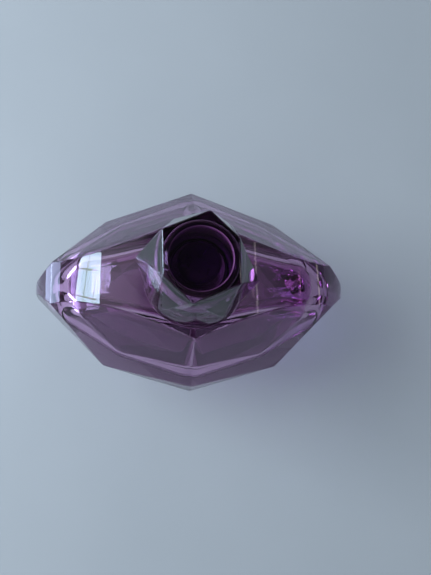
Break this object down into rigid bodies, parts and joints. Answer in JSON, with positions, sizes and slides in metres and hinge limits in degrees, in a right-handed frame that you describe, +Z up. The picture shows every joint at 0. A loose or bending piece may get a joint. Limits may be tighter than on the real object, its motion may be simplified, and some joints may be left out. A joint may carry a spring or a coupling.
{
  "type": "perfume bottle",
  "caption": "Eye-shaped faceted glass perfume bottle with an arched top, a crimped spray pump in a collar and a pull-off clear gem cap.",
  "frame": {"origin": "centre of the flat base, on the surface the bottle stands on", "axes": "+Z up along the neck, X from pointed end to pointed end, the front with the nozzle faces -Y"},
  "size_m": [0.091, 0.0588, 0.078],
  "materials": {
    "tinted_glass": "polished tinted glass",
    "perfume": "clear tinted liquid",
    "gasket_rubber": "smooth",
    "ferrule_aluminium": "anodised",
    "collar_metallised": "metallised and tinted",
    "pump_plastic": "moulded natural plastic",
    "seal_nitrile": "smooth",
    "spring_steel": "drawn wire",
    "ball_steel": "polished",
    "tube_plastic": "clear extruded",
    "button_plastic": "moulded gloss",
    "cap_clear": "clear moulded plastic, polished",
    "liner_tint": "moulded gloss, see-through tint"
  },
  "bodies": {
    "bottle": {"bottle_glass": "tinted_glass", "perfume_fill": "perfume", "neck_gasket": "gasket_rubber", "crimp_ferrule": "ferrule_aluminium", "collar_ring": "collar_metallised", "pump_housing": "pump_plastic", "stem_guide": "pump_plastic", "stem_gasket": "seal_nitrile", "return_spring": "spring_steel", "dip_tube": "tube_plastic"},
    "stem": {"pump_stem": "pump_plastic", "pump_piston": "pump_plastic"},
    "button": {"actuator_button": "button_plastic", "nozzle_insert": "button_plastic"},
    "ball": {"inlet_ball": "ball_steel"},
    "cap": {"cap_outer": "cap_clear", "cap_liner": "liner_tint"}
  },
  "joints": [
    {"name": "pump_stroke", "type": "slide", "parent": "bottle", "child": "stem", "axis": [0, 0, -1], "range_m": [0, 0.003], "stiffness_N_per_m": 2000, "springref_m": -0.0006, "deforming": ["return_spring"]},
    {"name": "button_turn", "type": "hinge", "parent": "stem", "child": "button", "pos_m": [0, 0, 0.0673], "axis": [0, 0, 1], "continuous": true},
    {"name": "ball_lift", "type": "slide", "parent": "bottle", "child": "ball", "axis": [0, 0, 1], "range_m": [0, 0.0006]},
    {"name": "cap_lift", "type": "slide", "parent": "bottle", "child": "cap", "axis": [0, 0, 1], "range_m": [0, 0.03]}
  ]
}
